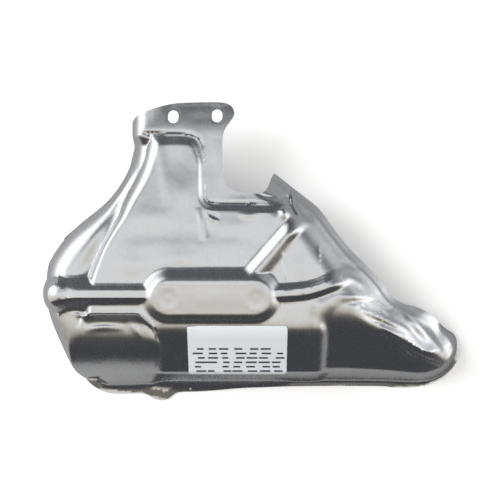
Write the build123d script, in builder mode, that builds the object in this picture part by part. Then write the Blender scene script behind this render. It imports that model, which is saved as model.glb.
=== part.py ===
"""Pressed exhaust heat shield: one aluminium sheet drawn over a form, and the paper label stuck to it.

Millimetres. The sheet lies on its open side, with its rim on Z = 0 and its crown up.
+X runs along its longest side, from the round flank to the nose, and +Y towards the bolting tab.
"""

from build123d import *
from math import atan2, cos, degrees, radians, sin, tan
import os

# Sheet and levels above the rim
sheet = 1.0
deck_height = 37.0
panel_height = 43.0
rib_height = 48.0
pad_height = 50.0
reach = 190.0
sink = 3.0
roll_over = 1.0

# Rim of the deck, from the collar down the neck and round the flank to the foot
rim_left = -87.0
neck_foot = 74.0
flare_radius = 46.0
flare_turn = 52.0
hip_length = 33.6
hip_radius = 42.0
waist_length = 26.0
waist_radius = 44.0
waist_turn = 30.0
heel_length = 26.0
heel_radius = 24.0
flank_radius = 20.0
deck_rim = -91.0
deck_crown = -42.0
deck_foot = 28.0

# Skirt that falls away from the deck on the right, in three flats
skirt_slope = 45.0
skirt_drop = 13.0
skirt_overlap = 30.0
horn_tip = (15.9, 58.4)
skirt_bend = (46.7, 34.4)
skirt_end = (79.6, -5.1)
skirt_foot = ((88.0, -16.0), (98.0, -97.0))

# Raised neck and panel, which roll down into the label wall
panel_draft = 40.0
panel_foot = 30.0
neck_left = -67.5
neck_right = -39.0
neck_top = 82.0
neck_corner = 6.5
shoulder = 30.5
shoulder_corner = 9.0
slope_start = 23.0
slope_end = (63.0, -12.0)
wall_left = -66.5
wall_draft = 12.0
wall_sink = 2.0
wall_margin = 0.5
ledge = -40.5
ledge_end = -77.5
crease_foot = (-113.5, -31.0)
crease_middle = (-101.5, 3.0)
crease_neck = (-73.5, 58.0)
crease_radius = 30.0
wall_rim = -94.0
wall_crown = -36.0
wall_foot = 34.0

# Belly: the fuller wall to the left of the label wall
belly_left = -121.5
belly_bend = -60.0
belly_heel = -96.0
belly_right = -67.0
belly_rim = -98.0
belly_crown = -46.0
belly_height = 40.2
belly_foot = 20.0

# Nose: a round-ended cone, half sunk, on an axis that runs down to the right
nose_root = (46.0, -49.0, -6.0)
nose_end = (151.0, -74.0, 1.0)
nose_radius = 48.2
nose_taper = 14.5

# Pad: a raised stadium with a dimple at each end
pad_length = 84.0
pad_width = 25.0
pad_draft = 42.0
pad_centre = (-28.3, -29.5)
dimple_radius = 6.8
dimple_floor = 3.6
dimple_depth = 0.9
dimple_inset = 12.0

# Ribs, each with its crest's width and the draft of its walls
rib_crest = 5.6
rib_draft = 40.0
rib_foot = 34.0
left_rib_end = -122.0
left_rib_line = -27.0
right_rib = ((2.0, -26.0), (45.0, -22.0), (92.0, -5.0))
right_rib_rise = 5.5
cross_rib = ((-2.0, -18.0), (36.0, 26.5))
cross_rib_rise = 4.5

# Lobe where the left rib runs over the rim
lobe_left = -140.5
lobe_right = -130.0
lobe_width = 20.0
lobe_draft = 4.0
lobe_height = 45.0
lobe_bevel = 8.0

# Trimmed edge: collar, tab, notch, horn and the long right edge
collar_corner = (-92.0, 94.5)
tab_left = (-60.0, 106.9)
tab_right = (-10.5, 108.0)
tab_end_radius = 8.5
tab_root = (-20.7, 82.0)
tab_bend = 16.0
notch_line = 43.4
notch_radius = 13.0
horn_root = 7.5
horn_hollow = (12.0, 49.5)
right_edge = ((93.3, -18.8), (98.0, -28.0), (112.0, -36.0), (131.0, -43.5), (144.0, -55.0))

# Slots in the tab
slot_centres = ((-55.2, 97.2), (-24.4, 97.9))
slot_width = 7.4
slot_length = 9.5

# Narrow lip round the foot, with an ear and a pin hole
lip_edge = (
    (-108.0, -70.0),
    (-136.0, -66.0),
    (-117.0, -102.5),
    (-80.0, -102.5),
    (-55.0, -100.9),
    (-8.0, -98.2),
    (96.0, -97.3),
    (121.0, -98.2),
    (145.0, -90.0),
    (154.0, -70.0),
    (149.0, -55.0),
    (120.0, -62.0),
)
lip_corner = 8.0
ear_centre = (-68.0, -101.3)
ear_radius = 6.6
pin_hole = (-45.4, -99.3)
pin_hole_radius = 0.9

# Paper label on the label wall
label_width = 70.0
label_left = -45.2
label_top = -49.5
label_bottom = -85.5
paper = 0.12
paste_gap = 0.05


def side_profile(rim, crown, height, foot_radius):
    """Section across the shield: a wall of two tangent arcs up from the rim, then level to the far side."""
    run = crown - rim
    crown_radius = (run**2 + height**2 - 2 * run * foot_radius) / (2 * (height - foot_radius))
    lean = degrees(atan2(run - foot_radius, crown_radius - height))
    with BuildSketch(Plane.YZ) as section:
        with BuildLine():
            foot = JernArc((rim, 0), (0, 1), foot_radius, lean - 90)
            brow = JernArc(foot @ 1, foot % 1, crown_radius, -lean)
            Polyline(brow @ 1, (reach, height), (reach, -2 * sink), (rim, -2 * sink), foot @ 0)
        make_face()
    return section.sketch


def wall_profile(lift):
    """Section of the label wall, lifted off its outer face."""
    return side_profile(wall_rim - lift, wall_crown, panel_height + roll_over + lift, wall_foot + lift)


def skirt_plane(start, end, lift):
    """Plane of one flat of the skirt, lifted along its own normal."""
    along = (Vector(*end) - Vector(*start)).normalized()
    upward = Vector(0, 0, 1)
    normal = upward.cross(along) * sin(radians(skirt_slope)) + upward * cos(radians(skirt_slope))
    edge = Vector(*start, deck_height - skirt_drop)
    return Plane(edge + normal * lift, x_dir=along, z_dir=normal)


def deck_form(inset):
    """Deck and its rolled flank, falling away at the skirt."""
    section = side_profile(deck_rim + inset, deck_crown, deck_height + roll_over - inset, deck_foot - inset)
    with BuildPart() as form:
        with BuildSketch(Plane.XY.offset(-sink)):
            with BuildLine():
                neck = Line((rim_left + inset, reach), (rim_left + inset, neck_foot))
                flare = JernArc(neck @ 1, neck % 1, flare_radius + inset, -flare_turn)
                hip = Line(flare @ 1, flare @ 1 + hip_length * (flare % 1))
                haunch = JernArc(hip @ 1, hip % 1, hip_radius - inset, flare_turn)
                waist = Line(haunch @ 1, haunch @ 1 + waist_length * (haunch % 1))
                tuck = JernArc(waist @ 1, waist % 1, waist_radius - inset, waist_turn)
                heel = Line(tuck @ 1, tuck @ 1 + heel_length * (tuck % 1))
                toe = JernArc(heel @ 1, heel % 1, heel_radius - inset, 90 - waist_turn)
                Polyline(toe @ 1, (reach, (toe @ 1).Y), (reach, reach), neck @ 0)
            make_face()
        extrude(amount=sink + deck_height - inset)
        brim = form.faces().sort_by(Axis.Z)[-1].edges().filter_by_position(Axis.X, -reach, 0)
        fillet(brim, flank_radius - inset)
        extrude(section, reach, both=True, mode=Mode.INTERSECT)
        for start, end in ((horn_tip, skirt_bend), (skirt_bend, skirt_end), skirt_foot):
            with BuildSketch(skirt_plane(start, end, -inset)):
                with Locations((reach / 2 - skirt_overlap, 0)):
                    Rectangle(reach, reach)
            extrude(amount=reach, mode=Mode.SUBTRACT)
    return form.part


def spread_plan(corners, level, spread):
    """Plan at one level, spread outwards from an outline whose corners come with their bends."""
    points = [point for point, bend in corners]
    bends = [bend for point, bend in corners]
    with BuildSketch(Plane.XY.offset(level)) as plan:
        with BuildLine():
            FilletPolyline(*points, radius=bends, close=True)
        make_face()
        offset(amount=spread, kind=Kind.INTERSECTION)
    return plan.sketch


def panel_form(inset):
    """Raised neck and panel with sloping shoulders, rolling down into the label wall."""
    foot_corners = (
        ((slope_end[0], -reach), 0),
        ((wall_left, -reach), 0),
        ((wall_left, ledge - (wall_left - ledge_end)), 0),
        ((ledge_end, ledge), 0),
    )
    wall_corners = (
        *foot_corners,
        ((ledge_end, wall_crown), 0),
        ((slope_end[0], wall_crown), 0),
    )
    crown_corners = (
        ((neck_left, neck_top), 0),
        ((neck_right, neck_top), neck_corner),
        ((neck_right, shoulder), shoulder_corner),
        ((slope_start, shoulder), 0),
        (slope_end, 0),
        *foot_corners,
        ((crease_foot[0], ledge), 0),
        (crease_foot, crease_radius),
        (crease_middle, crease_radius),
        (crease_neck, crease_radius),
    )
    section = wall_profile(-inset)
    wall_rise = sink + panel_height - wall_sink - inset
    wall_spread = wall_margin - inset / cos(radians(wall_draft)) + wall_rise * tan(radians(wall_draft))
    crown_rise = panel_height - panel_foot - inset
    crown_spread = (crown_rise + inset) * tan(radians(panel_draft)) - inset / cos(radians(panel_draft))
    wall_plan = spread_plan(wall_corners, -sink, wall_spread)
    crown_plan = spread_plan(crown_corners, panel_foot, crown_spread)
    with BuildPart() as form:
        extrude(wall_plan, wall_rise, taper=wall_draft)
        extrude(crown_plan, crown_rise, taper=panel_draft)
        extrude(section, reach, both=True, mode=Mode.INTERSECT)
    return form.part


def belly_form(inset):
    """Fuller wall to the left of the label wall."""
    section = side_profile(belly_rim + inset, belly_crown, belly_height - inset, belly_foot - inset)
    with BuildPart() as form:
        with BuildSketch(Plane.XY.offset(-sink)):
            with BuildLine():
                FilletPolyline(
                    (belly_left + inset, wall_crown),
                    (belly_left + inset, belly_bend),
                    (belly_heel + inset, -reach),
                    (belly_right - inset, -reach),
                    (belly_right - inset, wall_crown),
                    radius=(0, crease_radius, 0, 0, 0),
                    close=True,
                )
            make_face()
        extrude(amount=sink + panel_height)
        extrude(section, reach, both=True, mode=Mode.INTERSECT)
    return form.part


def nose_form(inset):
    """Round-ended cone, half sunk in the rim's plane, that ends the shield on the right."""
    run = Vector(*nose_end) - Vector(*nose_root)
    axis = run.normalized()
    slope = radians(nose_taper)
    root_radius = nose_radius - inset / cos(slope)
    length = run.length - inset
    tip_radius = (root_radius - length * tan(slope)) * cos(slope) / (1 - sin(slope))
    middle = length - tip_radius
    with BuildPart() as form:
        with BuildSketch(Plane(nose_root, x_dir=axis, z_dir=axis.cross(Vector(0, 0, 1)))):
            with BuildLine():
                start = (inset, root_radius - inset * tan(slope))
                cone = Line(start, (middle + tip_radius * sin(slope), tip_radius * cos(slope)))
                RadiusArc(cone @ 1, (length, 0), tip_radius)
                Polyline((length, 0), (inset, 0), start)
            make_face()
        revolve(axis=Axis(nose_root, axis))
    return form.part


def drafted_boss(centre_line, crest, foot, top, draft, inset):
    """Raised bar along a centre line, with a level crest and sloping walls down to its foot."""
    rise = top - foot
    spread = crest + 2 * rise * tan(radians(draft)) - 2 * inset / cos(radians(draft))
    with BuildPart() as form:
        with BuildSketch(Plane.XY.offset(foot)):
            SlotArc(centre_line, spread)
        extrude(amount=rise - inset, taper=draft)
    return form.part


def pad_form(inset):
    """Raised stadium with a dimple near each end."""
    half_run = (pad_length - pad_width) / 2
    with BuildLine() as middle:
        Line((pad_centre[0] - half_run, pad_centre[1]), (pad_centre[0] + half_run, pad_centre[1]))
    stadium = drafted_boss(middle.wire(), pad_width, rib_foot, pad_height, pad_draft, inset)
    with BuildPart() as form:
        add(stadium)
        for side in (-1, 1):
            spot = pad_centre[0] + side * (pad_length / 2 - dimple_inset)
            with Locations((spot, pad_centre[1], pad_height - dimple_depth - inset)):
                Cone(
                    dimple_floor + inset / 2,
                    dimple_radius + inset / 2,
                    dimple_depth,
                    align=(Align.CENTER, Align.CENTER, Align.MIN),
                    mode=Mode.SUBTRACT,
                )
    return form.part


def left_rib_form(inset):
    """Straight rib from the pad to the left rim."""
    with BuildLine() as middle:
        Line((left_rib_end, left_rib_line), (pad_centre[0], left_rib_line))
    return drafted_boss(middle.wire(), rib_crest, rib_foot, rib_height, rib_draft, inset)


def right_rib_form(inset):
    """Curved rib from the pad over the skirt on the right."""
    with BuildLine() as middle:
        ThreePointArc(*right_rib)
    rib = drafted_boss(middle.wire(), rib_crest, rib_foot, rib_height, rib_draft, inset)
    with BuildPart() as form:
        add(rib)
        split(bisect_by=skirt_plane(skirt_bend, skirt_end, right_rib_rise - inset), keep=Keep.BOTTOM)
    return form.part


def cross_rib_form(inset):
    """Rib that runs from the pad across the panel's slope."""
    with BuildLine() as middle:
        Line(*cross_rib)
    rib = drafted_boss(middle.wire(), rib_crest, rib_foot, rib_height, rib_draft, inset)
    with BuildPart() as form:
        add(rib)
        split(bisect_by=skirt_plane(skirt_bend, skirt_end, cross_rib_rise - inset), keep=Keep.BOTTOM)
    return form.part


def lobe_form(inset):
    """Round end of the left rib, standing out over the rim."""
    with BuildLine() as middle:
        Line((lobe_left, left_rib_line), (lobe_right, left_rib_line))
    lobe = drafted_boss(middle.wire(), lobe_width, -sink, lobe_height, lobe_draft, inset)
    with BuildPart() as form:
        add(lobe)
        chamfer(form.faces().sort_by(Axis.Z)[-1].edges(), lobe_bevel)
    return form.part


def press_form(inset):
    """All the forms that the sheet is drawn over, at one inset from its outer face."""
    makers = (
        deck_form,
        panel_form,
        belly_form,
        nose_form,
        pad_form,
        left_rib_form,
        right_rib_form,
        cross_rib_form,
        lobe_form,
    )
    forms = [maker(inset) for maker in makers]
    with BuildPart() as whole:
        for form in forms:
            add(form)
    return whole.part


outer_form = press_form(0)
inner_form = press_form(sheet)

with BuildPart() as heat_shield:
    add(outer_form)
    with BuildSketch():
        with BuildLine():
            FilletPolyline(*lip_edge, radius=lip_corner, close=True)
        make_face()
        with Locations(ear_centre):
            Circle(ear_radius)
    extrude(amount=sheet)
    add(inner_form, mode=Mode.SUBTRACT)
    with BuildSketch():
        with BuildLine():
            tab = FilletPolyline(
                collar_corner,
                tab_left,
                tab_right,
                tab_root,
                (tab_root[0], notch_line),
                (horn_root, notch_line),
                radius=(tab_end_radius, tab_end_radius, tab_bend, notch_radius),
            )
            ThreePointArc(tab @ 1, horn_hollow, horn_tip)
            Polyline(
                horn_tip,
                skirt_bend,
                skirt_end,
                *right_edge,
                (reach, right_edge[-1][1]),
                (reach, -reach),
                (-reach, -reach),
                (-reach, collar_corner[1]),
                tab @ 0,
            )
        make_face()
    extrude(amount=reach, mode=Mode.INTERSECT)
    with BuildSketch():
        with Locations(*slot_centres):
            SlotOverall(slot_length, slot_width, rotation=90)
        with Locations(pin_hole):
            Circle(pin_hole_radius)
    extrude(amount=reach, mode=Mode.SUBTRACT)

label_face = wall_profile(paste_gap + paper)
label_back = wall_profile(paste_gap)

with BuildPart() as paper_label:
    extrude(label_face, reach, both=True)
    extrude(label_back, reach, both=True, mode=Mode.SUBTRACT)
    with Locations((label_left + label_width / 2, (label_top + label_bottom) / 2, panel_height / 2)):
        Box(label_width, label_top - label_bottom, panel_height, mode=Mode.INTERSECT)

os.makedirs("parts", exist_ok=True)
heat_shield.part.label = "heat_shield"
export_step(heat_shield.part, "parts/heat_shield.step")
paper_label.part.label = "paper_label"
export_step(paper_label.part, "parts/paper_label.step")
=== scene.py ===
import math

import bpy
import numpy as np
from mathutils.geometry import delaunay_2d_cdt
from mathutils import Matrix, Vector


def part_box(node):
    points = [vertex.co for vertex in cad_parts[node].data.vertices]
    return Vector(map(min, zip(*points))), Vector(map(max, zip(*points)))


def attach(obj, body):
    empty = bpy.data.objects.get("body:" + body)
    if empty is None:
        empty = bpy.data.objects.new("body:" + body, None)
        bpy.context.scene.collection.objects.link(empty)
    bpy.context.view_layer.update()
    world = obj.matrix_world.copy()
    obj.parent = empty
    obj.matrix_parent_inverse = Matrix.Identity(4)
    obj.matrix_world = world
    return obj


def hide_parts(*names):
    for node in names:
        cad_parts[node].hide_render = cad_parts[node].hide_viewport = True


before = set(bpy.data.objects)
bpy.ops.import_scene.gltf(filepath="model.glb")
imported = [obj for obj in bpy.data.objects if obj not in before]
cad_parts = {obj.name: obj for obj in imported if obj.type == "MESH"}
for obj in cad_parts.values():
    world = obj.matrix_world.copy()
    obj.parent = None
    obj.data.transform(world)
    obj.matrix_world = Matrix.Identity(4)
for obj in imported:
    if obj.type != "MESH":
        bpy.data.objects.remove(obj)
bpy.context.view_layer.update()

bl_info = {
    "name": "Pressed Heat Shield",
    "version": (1, 0, 0),
    "blender": (4, 5, 0),
    "location": "3D View > Sidebar > Heat Shield",
    "description": "Dresses the packed heat shield: the drawn sheet, its paper label and a studio",
    "category": "Object",
}

MM = 0.001
SHEET_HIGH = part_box("heat_shield")[1]
LABEL_LOW, LABEL_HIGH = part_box("paper_label")

# Lengths and places from here to the waves are in millimetres

# Middles and size of the tab's two slots, and the small hole in the lip
SLOTS = ((-55.2, 97.2), (-24.4, 97.9))
SLOT_WIDTH, SLOT_LENGTH = 7.4, 9.5
LIP_HOLE, LIP_HOLE_WIDTH = (-45.4, -99.3), 1.8

# The flange stands above the deck, the tab leans back from its root and turns up at its edge
FLANGE_LIFT = 2.3
TAB_ROOT, TAB_LEAN, TAB_RUN = 85.0, 0.15, 24.0
TAB_UPTURN = 0.2
SLOT_SINK, SLOT_SINK_REACH = 0.16, 1.5

# The flank rolls off more tightly at the tab, and drops to the floor within a short run outside its foot
TAB_ROLL_LESS = 9.0
FLANK_DROP = 0.6

# Grooves beside the step and beside the valley
GROOVE_DEPTH, TAB_GROOVE_MORE = 1.4, 0.6
VALLEY_DEPTH, VALLEY_REACH = 1.8, 5.0

# The raised panel sways across, drops towards the neck's end, and has a tall round shoulder
PANEL_SWAY = -0.62
NECK_DROP = 0.9
SHOULDER_DROP, SHOULDER_WALL = 16.0, 6.0

# Walls: y of the foot; rise for each unit of run, run from the foot to the crown, and rise close to the foot
LABEL_WALL_FOOT = -94.0
LABEL_WALL = {"slope": 0.6, "crown": 42.5, "steep": 2.6}
BELLY_FOOT, BELLY_DROP = -98.0, 1.6
BELLY = {"slope": 0.55, "crown": 55.5, "steep": 1.3}
BULGE_SLOPE, BULGE_CROWN, BULGE_STEEP = 0.8, 0.85, 1.8

# Height and width of the bulge's section along the sheet
BULGE_AT = (30.0, 48.0, 62.0, 80.0, 97.0, 112.0, 128.0, 142.0, 153.0)
BULGE_TOP = (37.5, 42.0, 43.2, 41.0, 36.5, 31.8, 26.5, 21.0, 14.5)
BULGE_WIDTH = (57.0, 59.0, 60.0, 57.0, 50.0, 42.0, 34.0, 24.0, 15.0)

# The pad is a long slot in plan, with two dimples
PAD_X, PAD_Y = -28.3, -29.5
PAD_HALF_RUN, PAD_RADIUS = 29.5, 12.9
PAD_LEAN, PAD_WALL = 0.055, 0.78
DIMPLES = ((-58.0, -30.0), (3.0, -30.6))
DIMPLE_DEPTH, DIMPLE_RIM = 0.2, 0.05

# Ribs: the left one with its round head, the curved one on the right and the cross rib
LEFT_RIB_Y, LEFT_RIB_FLAT, LEFT_RIB_WALL = -27.0, 2.6, 0.84
HEAD_X, HEAD_Y, HEAD_TOP = -136.0, -27.4, 43.6
HEAD_OUT, HEAD_IN, HEAD_UP = 15.5, 16.0, 18.5
RIGHT_RIB = ((-10.0, -27.0), (20.0, -26.6), (42.0, -24.8), (58.0, -18.0), (76.0, -10.6), (100.0, -2.0))
CROSS_RIB = ((-6.0, -22.0), (46.0, 38.0))

# The skirt's slope, which eases to the right, and the bead along it
SKIRT_SLOPE, SKIRT_EASING = 0.9, 0.0013
BEAD_HEIGHT, BEAD_AT, BEAD_REACH = 0.35, 6.0, 1.6

# Outer brink of the lip: x and y
BRINK_X = (-120.0, -80.0, -76.0, -62.0, -55.0, -38.0, 14.0, 66.0, 104.0, 128.0, 150.0)
BRINK_Y = (-98.0, -102.3, -104.0, -107.0, -102.0, -101.0, -97.6, -96.9, -98.0, -96.5, -84.0)
LIP_LEAN = 0.22

# Mesh: longest edge, farthest that an edge may bow from the sheet, and shortest edge that is still halved
LONGEST_EDGE, FARTHEST_BOW, SHORTEST_EDGE = 2.4, 0.05, 0.85
MOST_HALVINGS = 9

# Shares of the mesh spacing: along the edge, along a hole, between rows, and clear of the edge
EDGE_SHARE, HOLE_SHARE, ROW_SHARE, CLEAR_SHARE = 0.8, 0.4, 0.866, 0.45

# Label: mesh spacing, corner roundings from the lower left anticlockwise, gap under it
LABEL_SPACING = 1.1
LABEL_ROUNDINGS = (0.6, 2.4, 2.0, 0.6)
LABEL_GAP = 0.05

# Plan of the trimmed edge, clockwise from the foot of the collar; a point given three times is a sharp corner
EDGE = (
    (-84.4, 78.0), (-86.0, 82.3), (-86.1, 88.0), (-85.7, 93.0), (-83.6, 96.6), (-80.4, 98.9),
    (-73.0, 101.9), (-62.0, 105.2), (-54.0, 106.9), (-38.0, 107.4), (-22.0, 107.6), (-15.5, 106.2),
    (-12.2, 101.8), (-12.5, 97.6), (-15.4, 93.6), (-19.2, 88.4), (-20.7, 83.0), (-20.7, 70.0),
    (-20.7, 57.0), (-18.6, 50.0), (-14.5, 45.7), (-8.4, 43.7), (0.0, 43.1), (6.4, 43.2), (9.6, 45.2),
    (11.9, 49.0), (13.7, 54.0), (15.9, 58.7), (15.9, 58.7), (15.9, 58.7), (27.3, 49.5), (41.7, 38.4),
    (46.7, 34.4), (50.0, 30.5), (59.6, 17.2), (70.3, 3.6), (79.6, -5.1), (89.0, -14.5), (93.3, -18.8),
    (96.6, -25.0), (99.8, -29.6), (105.6, -33.3), (112.1, -36.0), (118.1, -37.0), (124.0, -39.6),
    (130.5, -43.5), (137.0, -49.5), (143.0, -54.6), (148.6, -57.6), (152.0, -62.0), (153.3, -68.2),
    (152.6, -76.0), (149.0, -83.2), (143.1, -89.9), (136.0, -94.0), (127.5, -96.7), (118.6, -98.0),
    (103.8, -98.0), (97.9, -96.9), (66.0, -96.9), (35.7, -97.0), (14.0, -97.6), (-8.8, -98.3),
    (-25.0, -100.0), (-38.4, -101.0), (-50.0, -101.1), (-55.5, -101.6), (-59.0, -104.2), (-62.3, -106.8),
    (-68.0, -107.8), (-73.2, -106.2), (-76.5, -103.4), (-80.5, -102.1), (-88.0, -102.4), (-97.6, -102.7),
    (-106.5, -102.2), (-114.7, -99.1), (-121.3, -93.2), (-127.3, -85.8), (-134.7, -71.9), (-140.6, -58.6),
    (-145.0, -48.2), (-148.2, -40.1), (-150.5, -33.5), (-151.2, -27.5), (-150.4, -22.3), (-148.6, -17.6),
    (-148.4, -12.0), (-147.4, -7.0), (-144.3, -0.1), (-138.4, 9.5), (-131.0, 17.7), (-123.5, 24.3),
    (-114.7, 31.0), (-106.5, 37.7), (-99.1, 45.8), (-93.2, 54.0), (-88.7, 62.8), (-86.6, 71.7),
)

# Foot of the rolled flank, from above the collar down the neck, round the hip and to the heel
FLANK = (
    (-85.3, 130.0), (-85.3, 100.0), (-85.2, 84.0), (-84.2, 78.0), (-85.9, 71.7), (-88.0, 62.8),
    (-92.5, 54.0), (-98.0, 45.4), (-105.3, 37.3), (-113.5, 30.5), (-122.3, 23.7), (-129.8, 16.7),
    (-137.3, 8.7), (-143.4, -0.6), (-146.7, -7.0), (-147.9, -17.0), (-148.0, -28.0), (-146.6, -39.0),
    (-143.9, -48.2), (-139.5, -58.6), (-133.6, -71.9), (-126.3, -85.4), (-120.0, -92.2), (-113.0, -96.6),
    (-104.5, -98.6), (-90.0, -98.9), (0.0, -99.0),
)

# Sharp valley between the flank's roll and the shoulder of the raised neck and panel
VALLEY = (
    (-75.5, 100.0), (-75.2, 84.0), (-79.6, 64.0), (-84.4, 53.0), (-91.6, 39.0), (-95.2, 28.5),
    (-101.0, 19.0), (-109.0, 5.0), (-115.5, -13.0), (-118.5, -26.0), (-119.5, -42.0),
)

# Middle of the step that bounds the raised neck and panel elsewhere
STEP = (
    (-140.0, 83.2), (-60.0, 83.2), (-47.0, 83.2), (-40.4, 81.8), (-37.0, 77.6), (-36.4, 72.0),
    (-36.2, 66.0), (-36.0, 44.0), (-35.2, 38.0), (-31.0, 33.8), (-24.0, 33.2), (-6.0, 33.2), (4.0, 32.4),
    (16.0, 32.6), (23.0, 34.6), (28.0, 40.0), (33.0, 52.0), (60.0, 90.0), (200.0, 90.0), (200.0, -130.0),
)

# Foot of the long bulge on the right, along the lip and round the tip
NOSE_FOOT = (
    (0.0, -93.6), (40.0, -93.6), (95.0, -93.8), (119.0, -95.0), (129.5, -94.2), (140.0, -90.2),
    (147.4, -84.4), (152.2, -76.4), (153.6, -68.4), (152.6, -61.4), (149.4, -56.4), (144.0, -51.6),
)

# Long edge on the right from the horn to the tip, with the sheet's height there
SKIRT = (
    (15.9, 58.4, 26.0), (31.0, 46.6, 27.5), (46.7, 34.4, 28.5), (59.6, 17.2, 28.5), (70.3, 3.6, 28.0),
    (79.6, -5.1, 27.5), (93.3, -18.8, 25.0), (99.8, -29.6, 23.0), (112.1, -36.0, 20.0),
    (131.0, -43.6, 16.5), (143.0, -54.6, 12.0), (152.0, -62.0, 6.0),
)

# Ridges and grooves that the press left: line in plan, half-width and height; each dies out at its ends
WRINKLES = (
    # Valley between the label wall and the bulge
    (((47.0, -22.0), (42.6, -44.0), (41.6, -62.0), (45.0, -92.0)), 3.0, -1.0),
    # Fold and bend at the root of the horn
    (((27.6, 48.0), (25.6, 40.0), (27.4, 32.0), (32.5, 25.6)), 1.4, -1.3),
    (((30.4, 48.0), (28.8, 40.0), (30.4, 33.0), (35.5, 27.0)), 2.2, 0.6),
    (((0.0, 46.0), (7.0, 41.4), (16.0, 39.6), (28.0, 41.6)), 1.6, -0.8),
    # Pinches at the ribs' ends
    (((35.0, 32.0), (43.0, 23.6)), 2.4, -0.6),
    (((64.0, -14.0), (78.0, -21.6)), 2.2, 0.45),
    (((66.0, -17.0), (81.0, -28.0)), 2.2, -0.45),
    (((60.0, -4.0), (79.0, -10.4)), 2.4, -0.3),
    # Creases in the small panel
    (((21.2, 3.0), (23.5, -19.0)), 1.0, 0.5),
    (((46.8, 8.0), (46.0, -18.0)), 1.3, 0.4),
    # Neck: pinch under the collar and a soft ridge
    (((-79.0, 86.6), (-71.0, 84.8), (-60.0, 86.0)), 1.4, -0.6),
    (((-77.0, 83.4), (-69.0, 82.2), (-60.0, 82.8)), 1.5, 0.35),
    (((-66.8, 86.0), (-62.0, 64.0), (-60.0, 34.0)), 3.4, 0.55),
    # Inner corner of the neck
    (((-37.4, 34.0), (-35.6, 26.0), (-34.0, 10.0)), 2.1, 0.6),
    (((-34.4, 32.0), (-32.2, 25.0), (-30.6, 12.0)), 1.9, -0.45),
    (((-32.6, 29.4), (-28.6, 25.0), (-23.0, 24.0)), 1.6, 0.42),
    (((-30.2, 29.6), (-26.4, 27.2), (-21.4, 25.0)), 1.5, -0.4),
    (((-10.0, 28.8), (-2.6, 27.6), (5.0, 28.6)), 2.0, 0.4),
    # Corner under the left rib
    (((-127.4, -40.4), (-119.0, -42.6), (-111.0, -41.8)), 1.6, 0.6),
    (((-122.8, -52.0), (-121.2, -44.0), (-116.0, -37.0)), 1.5, -0.6),
    # Bulge under the ledge
    (((-119.0, -53.0), (-105.0, -50.0), (-88.0, -51.6)), 2.4, 0.8),
    # Wrinkles beside the label wall
    (((-82.0, -40.6), (-73.0, -47.4), (-66.4, -56.4), (-67.0, -68.0)), 1.7, 0.9),
    (((-78.0, -44.6), (-71.0, -51.0), (-66.0, -62.0)), 1.4, -0.7),
    (((-88.0, -47.0), (-80.0, -53.0), (-76.0, -64.0)), 2.2, 0.5),
    # Wrinkles and seam on the bulge
    (((76.0, -37.0), (94.0, -45.0), (116.0, -56.0)), 1.9, 0.8),
    (((76.0, -41.0), (92.0, -48.4), (110.0, -56.0)), 1.7, -0.7),
    (((90.0, -49.0), (103.0, -57.4), (120.0, -69.0)), 1.9, 0.75),
    (((90.0, -53.0), (101.0, -60.6), (114.0, -70.0)), 1.6, -0.6),
    (((96.0, -56.0), (107.0, -66.4), (120.0, -79.0)), 1.9, 0.7),
    (((104.0, -35.6), (121.0, -52.4), (138.0, -71.0)), 2.8, 1.1),
    (((103.0, -42.0), (117.0, -56.6), (130.0, -70.0)), 2.6, -0.9),
    (((104.0, -66.0), (128.0, -75.6), (154.0, -87.6)), 1.5, -0.55),
    (((124.0, -42.0), (134.0, -57.0), (145.0, -76.0)), 3.4, -0.7),
)

# Broad shallow waves in the sheet: middle, reach and height
WAVES = (
    ((22.9, 29.8), (3.9, 4.6), 2.7), ((-54.0, 64.0), (9.0, 14.0), -0.3), ((-47.0, 44.0), (8.0, 11.0), 0.35),
    ((-72.0, 26.0), (13.0, 8.0), 0.45), ((-84.0, -6.0), (10.0, 7.0), 0.4),
    ((-50.0, -3.0), (16.0, 6.0), 0.35), ((-12.0, 20.0), (12.0, 6.0), 0.3), ((4.0, 8.0), (8.0, 10.0), -0.3),
    ((34.0, -8.0), (7.0, 7.0), 0.25), ((-28.0, 60.0), (4.0, 16.0), -0.35),
    ((-95.0, -70.0), (16.0, 6.0), 0.45), ((-86.0, -86.0), (22.0, 4.0), 0.5),
    ((-28.0, -30.0), (26.0, 7.0), 0.22), ((-6.0, 38.6), (12.0, 2.4), 0.25),
    ((-36.0, 96.0), (9.0, 4.0), -0.15),
)

# From here on lengths are in metres
# Print: middle of the field, well above the label, its size, and how uneven the dashes are
PRINT_MIDDLE, PRINT_WIDTH, PRINT_HEIGHT = (-0.0092, -0.0746, 0.1), 0.0555, 0.0168
DASH_SHIFT, DASH_SHORTEST, DASH_LONGEST, DASHES_KEPT = 0.0016, 0.42, 0.94, 0.95
INK_FILM = 0.00004

# Hairline scuffs in the metal
SCUFF_WIDTH, SCUFF_LENGTH, SCUFF_TURN = 0.0005, 0.008, 1.0

# Stage: half the floor's width, place of the camera in plan, and its sensor in millimetres
FLOOR_HALF = 4.0
CAMERA_X, CAMERA_Y = -0.00135, 0.0036
SENSOR_WIDTH = 36.0

# Lamps: place, width and the setting that holds the power
LAMPS = {
    "key": ((-0.95, 0.40, 0.62), 0.7, "key_power"),
    "fill": ((-0.10, -1.20, 0.75), 1.6, "fill_power"),
}

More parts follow.
